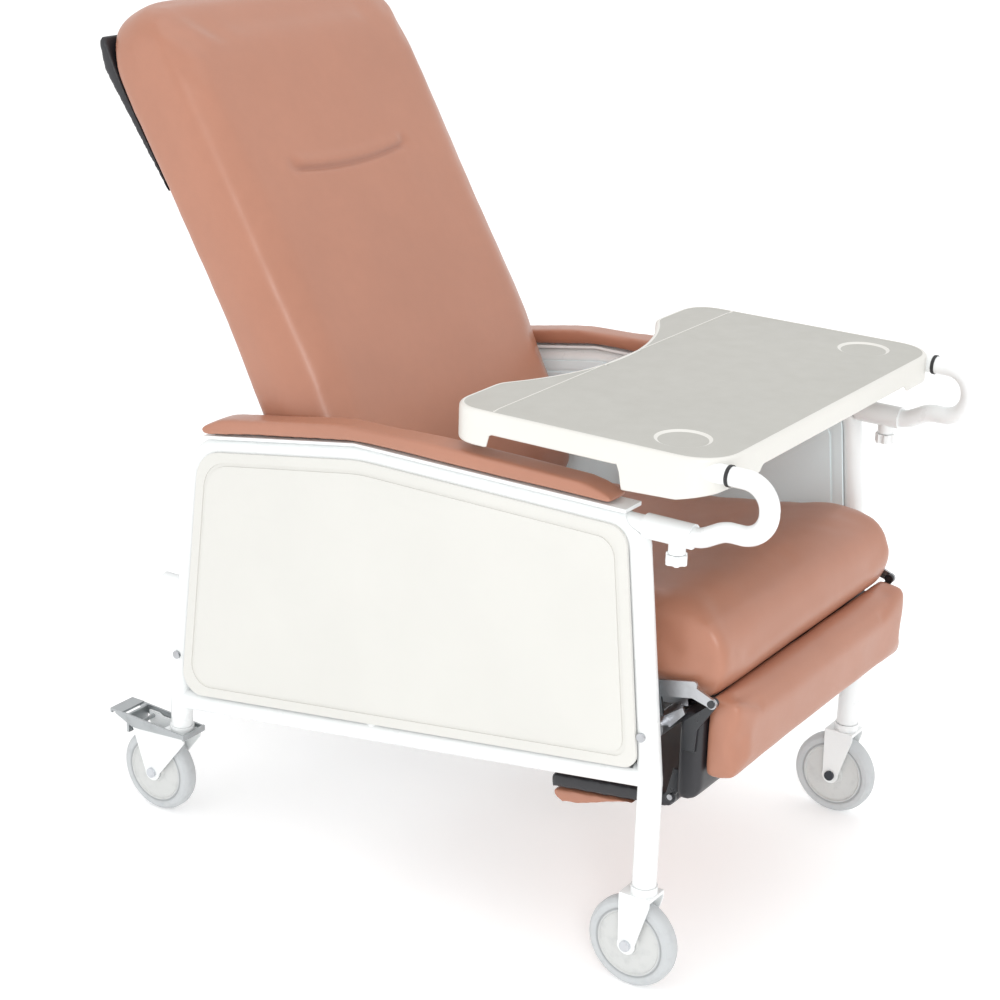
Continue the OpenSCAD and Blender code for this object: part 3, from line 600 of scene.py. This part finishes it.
# BEAD_PALE is the half-width of the pale stripe along the bead, a painted highlight
BEAD_Y, BEAD_HALF, BEAD_PALE = -0.1520, 0.0022, 0.0012
BEAD_END, BEAD_FADE, BEAD_POINTS = 0.014, 0.010, 81
SKIRT, FOOT_DROP = 0.029, 0.018
SIDE_SKIRT_AT, SIDE_SKIRT = (0, 0.014, 0.059, 0.135), (0.038, 0.045, 0.056, 0.060)
SIDE_SKIRT_END, FOOT_END = 0.140, 0.068
SIDE_SKIRT_X, FOOT_X = 0.210, 0.214
PALE_BELOW = 0.008
RIM_IN = 0.009
WORK_DROP = 0.0009
# inset from the outline, and drop from the top: over the rim, and back up inside the skirt
RIM_OUTSIDE = (
    (RIM_IN, WORK_DROP), (0.0078, 0.0008), (0.0064, 0.0002), (0.0050, 0), (0.0036, 0.0002),
    (0.0022, 0.0009), (0.0010, 0.0022), (0.0003, 0.0042), (0, 0.010),
)
SKIRT_INSIDE = ((0.0036, 0.012), (0.0050, 0.0065))
# round the skirt's lower edge: inset from the outline, and rise from the edge
SKIRT_EDGE = ((0, 0.004), (0.0004, 0.0015), (0.0014, 0), (0.0026, 0), (0.0034, 0.0015))
# across a cup's recess: radius over CUP_R, and drop
CUP_PROFILE = (
    (1.10, 0), (1.03, 0.0001), (0.99, 0.0006), (0.95, 0.0016), (0.90, 0.0023), (0.82, 0.0025), (0.2, 0.0025),
)
# across the bead: distance over BEAD_HALF, and lift
BEAD_PROFILE = ((-1.6, 0), (-1, 0.0002), (-0.4, 0.0010), (0.4, 0.0010), (1, 0.0002), (1.6, 0))


def arc(centre, radius, start, end, step=TRAY_STEP):
    count = max(4, int(abs(end - start) * radius / step))
    angles = np.linspace(start, end, count + 1)
    return [(centre[0] + radius * math.cos(a), centre[1] + radius * math.sin(a)) for a in angles]


def resample(points, step):
    """The closed line walked at an even step."""
    p = np.array(points)
    p = p[np.linalg.norm(p - np.roll(p, 1, 0), axis=1) > 1e-6]
    ring = np.vstack([p, p[:1]])
    run = np.concatenate([[0], np.cumsum(np.linalg.norm(np.diff(ring, axis=0), axis=1))])
    at = np.linspace(0, run[-1], int(run[-1] / step), endpoint=False)
    return np.stack([np.interp(at, run, ring[:, k]) for k in (0, 1)], 1)


def tray_line(low, high):
    """The tray's outline, anticlockwise from the front right corner, as evenly spaced points."""
    half = high.x
    front, rear = low.y, high.y
    a, b = TRAY_CORNER_FRONT, TRAY_CORNER_REAR
    turn = math.pi / 2
    belly_r = (BELLY_HALF ** 2 + BELLY_DEPTH ** 2) / (2 * BELLY_DEPTH)
    reach = math.asin(BELLY_HALF / belly_r)
    points = arc((-half + a, front + a), a, -2 * turn, -turn)
    points += arc((half - a, front + a), a, -turn, 0)
    points += arc((half - b, rear - b), b, 0, turn)
    points += arc((0, rear - BELLY_DEPTH + belly_r), belly_r, -turn + reach, -turn - reach)
    points += arc((-half + b, rear - b), b, turn, 2 * turn)
    line = resample(points, TRAY_STEP)
    for _ in range(9):
        line = 0.5 * line + 0.25 * (np.roll(line, 1, 0) + np.roll(line, -1, 0))
    return line


def skirt_depth(line, front, rear):
    """How far the skirt hangs: deep behind the front corners, with a small foot at the rear ones."""
    x, y = np.abs(line[:, 0]), line[:, 1]
    back = y - front
    run = np.interp(back, SIDE_SKIRT_AT, SIDE_SKIRT)
    deep = smoothstep((SIDE_SKIRT_END - back) / 0.005) * smoothstep((x - SIDE_SKIRT_X) / 0.014)
    foot = smoothstep((FOOT_END - (rear - y)) / 0.006) * smoothstep((x - FOOT_X) / 0.012)
    return SKIRT + (run - SKIRT) * deep + FOOT_DROP * foot


def bridge(bm, rows, closed=True):
    """Quads between each row of vertices and the next."""
    for upper, lower in zip(rows, rows[1:]):
        for k in range(len(upper) if closed else len(upper) - 1):
            n = (k + 1) % len(upper)
            bm.faces.new((upper[k], upper[n], lower[n], lower[k]))


def loop_edges(bm, verts):
    return [bm.edges.get((a, b)) or bm.edges.new((a, b)) for a, b in zip(verts, verts[1:] + verts[:1])]


def tray_wall(bm, line, top, depth):
    """The rolled rim and the skirt as rings, from the work area's edge outward, down and back up inside."""
    tangent = np.roll(line, -1, 0) - np.roll(line, 1, 0)
    outward = np.stack([tangent[:, 1], -tangent[:, 0]], 1)
    outward /= np.linalg.norm(outward, axis=1, keepdims=True)

    def ring(inset, z):
        z = np.broadcast_to(z, len(line))
        return [bm.verts.new((*(p - o * inset), h)) for p, o, h in zip(line, outward, z)]

    rows = [ring(inset, top - drop) for inset, drop in RIM_OUTSIDE]
    rows += [ring(inset, top - depth + rise) for inset, rise in SKIRT_EDGE]
    rows += [ring(inset, top - drop) for inset, drop in SKIRT_INSIDE]
    bridge(bm, rows[::-1])
    return rows


def cup_recess(bm, x, z):
    """A shallow round recess. Returns its outer edge."""
    rows = []
    for share, drop in CUP_PROFILE:
        radius = CUP_R * share
        circle = arc((x, CUP_Y), radius, 0, 2 * math.pi, radius * 2 * math.pi / CUP_SIDES)[:-1]
        rows.append([bm.verts.new((*p, z - drop)) for p in circle])
    bridge(bm, rows)
    bm.faces.new(rows[-1])
    return loop_edges(bm, rows[0])


def tray_bead(bm, half, z):
    """A raised bead across the tray, behind the work area. Returns its border."""
    xs = np.linspace(-half, half, BEAD_POINTS)
    fade = smoothstep((half - np.abs(xs)) / BEAD_FADE)
    rows = []
    for off, lift in BEAD_PROFILE:
        y = BEAD_Y + off * BEAD_HALF
        rows.append([bm.verts.new((x, y, z + lift * f)) for x, f in zip(xs, fade)])
    bridge(bm, rows, closed=False)
    left_end = [row[-1] for row in rows[1:-1]]
    right_end = [row[0] for row in rows[-2:0:-1]]
    return loop_edges(bm, rows[0] + left_end + rows[-1][::-1] + right_end)


def tray():
    """One moulding: rim, skirt, two cup recesses and a bead. The work area takes painted shade, a darker
    copy of the plastic; the walls, rim, bead line and cup walls stay pale as painted light.
    """
    low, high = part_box("tray_top")
    top = high.z
    work = top - WORK_DROP
    line = tray_line(low, high)
    bm = bmesh.new()
    rows = tray_wall(bm, line, top, skirt_depth(line, low.y, high.y))
    edges = loop_edges(bm, rows[0])
    for x in (-CUP_X, CUP_X):
        edges += cup_recess(bm, x, work)
    edges += tray_bead(bm, high.x - BEAD_END, work)
    bmesh.ops.triangle_fill(bm, edges=edges, use_beauty=True, use_dissolve=False, normal=(0, 0, 1))
    bmesh.ops.triangle_fill(bm, edges=loop_edges(bm, rows[-1]), use_beauty=True, normal=(0, 0, -1))
    bmesh.ops.recalc_face_normals(bm, faces=bm.faces)
    mesh = bpy.data.meshes.new("tray_shell")
    bm.to_mesh(mesh)
    bm.free()
    smooth_shading(mesh)
    obj = add_object("tray_shell", mesh)
    mesh.materials.append(TRAY_SKIN)
    mesh.materials.append(TRAY_WORK_SHADE)
    for poly in mesh.polygons:
        x, y, z = poly.center
        cup_wall = abs(math.hypot(abs(x) - CUP_X, y - CUP_Y) - CUP_WALL) < CUP_WALL_HALF
        # walls stay pale as faces turned to the lamps, and the rim, bead line and cup walls as painted
        # highlights; the rest of the top takes the painted shade
        wall = z < top - PALE_BELOW or poly.normal.z < 0.3
        painted_lit = wall or cup_wall or abs(y - BEAD_Y) < BEAD_PALE
        poly.material_index = 0 if painted_lit or near_edge(poly.center, line) else 1
    weigh = obj.modifiers.new("weighted", "WEIGHTED_NORMAL")
    weigh.keep_sharp = True
    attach(obj, "tray")
    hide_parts("tray_top")


def near_edge(point, line):
    """True on the rim: within the rim's width of the outline."""
    return np.hypot(line[:, 0] - point.x, line[:, 1] - point.y).min() < RIM_IN - 0.002


# ---------------------------------------------------------------- hard parts

NODE_MATERIALS = {
    "frame_left": PAINT, "frame_right": PAINT, "rear_cross_tube": PAINT, "seat_frame": ZINC,
    "arm_rail_left": PAINT, "arm_rail_right": PAINT, "tray_sleeve_left": PAINT, "tray_sleeve_right": PAINT,
    "tray_arm_left": PAINT, "tray_arm_right": PAINT, "caster_sockets": BLACK_PLASTIC,
    "outer_panel_left": PANEL_SKIN, "outer_panel_right": PANEL_SKIN,
    "inner_panel_left": PANEL_INNER_PAINTED_LIGHT, "inner_panel_right": PANEL_INNER_PAINTED_LIGHT,
    "wall_bumpers": KNOB_PLASTIC, "clamp_knob_left": KNOB_PLASTIC, "clamp_knob_right": KNOB_PLASTIC,
    "tray_top": TRAY_SKIN, "tray_clamps": BLACK_PLASTIC, "seat_board": WOOD, "back_board": WOOD,
    "push_bar": ZINC, "back_frame": ZINC, "position_plate": ZINC, "release_lever": ZINC, "release_pin": ZINC,
    "foot_rod": ZINC, "frame_bolts": ZINC, "back_pins": ZINC,
    "legrest_arms": BLACK_PAINT, "legrest_pins": BLACK_PAINT,
}
TYRE_EDGE = 0.0465
PANEL_ROUND, PART_ROUND = 0.0016, 0.0007


def wheel_material(name):
    """Grey tyre and lighter disc, told apart by the distance from the axle, with painted shade: a dark ring
    along the groove between them.
    """
    low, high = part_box(name)
    s = Shader("caster_" + name, TYRE, 0.5)
    away = s.vector_maths("SUBTRACT", s.coords, (low + high) / 2)
    flat = s.vector_maths("MULTIPLY", away.outputs["Vector"], (0, 1, 1))
    radius = s.vector_maths("LENGTH", flat.outputs["Vector"]).outputs["Value"]
    disc = s.ramp(radius, TYRE_EDGE + 0.001, TYRE_EDGE - 0.001, 0.0, 1.0)
    off_line = s.maths("ABSOLUTE", s.maths("SUBTRACT", radius, TYRE_EDGE + 0.002), 0.0)
    ring = s.ramp(off_line, 0.0, 0.0022, 1.0, 0.0)
    base = s.mix(disc, TYRE, HUB)
    # painted shade: the dark ring standing in for shade in the groove
    base = s.mix(s.maths("MULTIPLY", ring, 0.7), base, shade(TYRE, 0.45))
    dust = s.ramp(s.noise(70, 5), 0.5, 0.75, 0.0, 0.3)
    s.colour(s.mix(dust, base, shade(TYRE, 0.7)))
    s.roughness(s.ramp(disc, 0, 1, 0.62, 0.38))
    s.bump((s.noise(300, 3), 0.0001, 0.3))
    return s.mat


def axle_material(name):
    """Bright steel with a black cap on the side that faces the middle of the chair."""
    low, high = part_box(name)
    middle = (low.x + high.x) / 2
    s = Shader("caster_" + name, BRIGHT_STEEL, 0.3)
    split = s.nodes.new("ShaderNodeSeparateXYZ")
    s.links.new(s.coords, split.inputs[0])
    side = 1 if middle > 0 else -1
    inner = s.ramp(split.outputs["X"], middle - side * 0.004, middle + side * 0.004, 1.0, 0.0)
    worn = s.ramp(s.noise(90, 4), 0.5, 0.75, 0.0, 0.5)
    steel = s.mix(worn, BRIGHT_STEEL, WORN_STEEL)
    s.colour(s.mix(inner, steel, AXLE_CAP))
    s.links.new(s.maths("SUBTRACT", 1.0, inner), s.bsdf.inputs["Metallic"])
    return s.mat


def soften_edges(obj, width):
    """Rounds the sharp edges of a CAD part by a hair, so that they catch the light."""
    spare = obj.data.attributes.get("custom_normal")
    if spare:
        obj.data.attributes.remove(spare)
    smooth_shading(obj.data)
    weld = obj.modifiers.new("weld", "WELD")
    weld.merge_threshold = 0.00002
    bevel = obj.modifiers.new("bevel", "BEVEL")
    bevel.width = width
    bevel.segments = 2
    bevel.limit_method = "ANGLE"
    bevel.angle_limit = math.radians(30)
    bevel.harden_normals = True


def node_material(name):
    """The material of a CAD piece, or None for one that a soft piece replaces."""
    kind = name.split("_")[0]
    if kind == "wheel":
        return wheel_material(name)
    if kind == "axle":
        return axle_material(name)
    return {"fork": PAINT, "brake": BRAKE_STEEL}.get(kind) or NODE_MATERIALS.get(name)


def dress_cad():
    for name, obj in NODES.items():
        material = node_material(name)
        if material:
            obj.data.materials.clear()
            obj.data.materials.append(material)
            soften_edges(obj, PANEL_ROUND if "panel" in name else PART_ROUND)


# ---------------------------------------------------------------- stage

WHITE = (1, 1, 1, 1)
FLOOR_HALF, FLOOR_GAP, FLOOR_GLOW = 30, 0.0005, 0.22
LIGHT_TARGET = Vector((0, 0, 0.6))
# name: place, size in metres, watts
LIGHTS = {
    "key": ((-3.2, -2.5, 2.3), 0.8, 40),
    "fill": ((-3.4, 1.6, 1.8), 2.5, 10),
    "top": ((0.4, -0.6, 4.2), 3.2, 20),
}


def area_light(name, place, size, watts):
    data = bpy.data.lights.new(name, "AREA")
    data.shape = "SQUARE"
    data.size = size
    data.energy = watts
    lamp = add_object(name, data)
    lamp.location = place
    lamp.rotation_euler = (LIGHT_TARGET - Vector(place)).to_track_quat("-Z", "Y").to_euler()


def stage():
    bm = bmesh.new()
    bmesh.ops.create_grid(bm, x_segments=1, y_segments=1, size=FLOOR_HALF)
    mesh = bpy.data.meshes.new("floor")
    bm.to_mesh(mesh)
    bm.free()
    floor = add_object("floor", mesh)
    floor.location.z = cad_box[0][2] - FLOOR_GAP
    s = Shader("pale_floor", FLOOR_LOW, 0.7)
    s.colour(s.mix(s.ramp(s.noise(3, 2), 0.3, 0.7, 0, 1), FLOOR_LOW, FLOOR_HIGH))
    s.set(Emission_Color=WHITE, Emission_Strength=FLOOR_GLOW)
    floor.data.materials.append(s.mat)
    for name, (place, size, watts) in LIGHTS.items():
        area_light(name, place, size, watts)
    world = bpy.data.worlds.new("studio")
    world.use_nodes = True
    background = world.node_tree.nodes["Background"]
    background.inputs["Color"].default_value = WHITE
    background.inputs["Strength"].default_value = 1.0
    scene = bpy.context.scene
    scene.world = world
    scene.view_settings.view_transform = "Standard"


CAMERA_PLACE = Vector((-2.5196, -1.6060, 1.5747))
CAMERA_AZIMUTH = math.radians(56.82)
CAMERA_DOWN = math.radians(19.72)
CAMERA_ROLL = math.radians(1.75)
CAMERA_LENS = 78.74


def camera():
    """The camera that the photograph was solved with."""
    forward = Vector((math.sin(CAMERA_AZIMUTH), math.cos(CAMERA_AZIMUTH), 0))
    view = forward * math.cos(CAMERA_DOWN) - Vector((0, 0, math.sin(CAMERA_DOWN)))
    level = Vector((math.cos(CAMERA_AZIMUTH), -math.sin(CAMERA_AZIMUTH), 0))
    upright = level.cross(view)
    right = level * math.cos(CAMERA_ROLL) + upright * math.sin(CAMERA_ROLL)
    up = upright * math.cos(CAMERA_ROLL) - level * math.sin(CAMERA_ROLL)
    data = bpy.data.cameras.new("camera")
    data.lens = CAMERA_LENS
    data.sensor_width = 36
    obj = add_object("camera", data)
    turn = Matrix((right, up, -view)).transposed().to_4x4()
    obj.matrix_world = Matrix.Translation(CAMERA_PLACE) @ turn
    bpy.context.scene.camera = obj


camera()
stage()
dress_cad()
seat_cushion()
back_cushion()
pads()
covers()
tray()
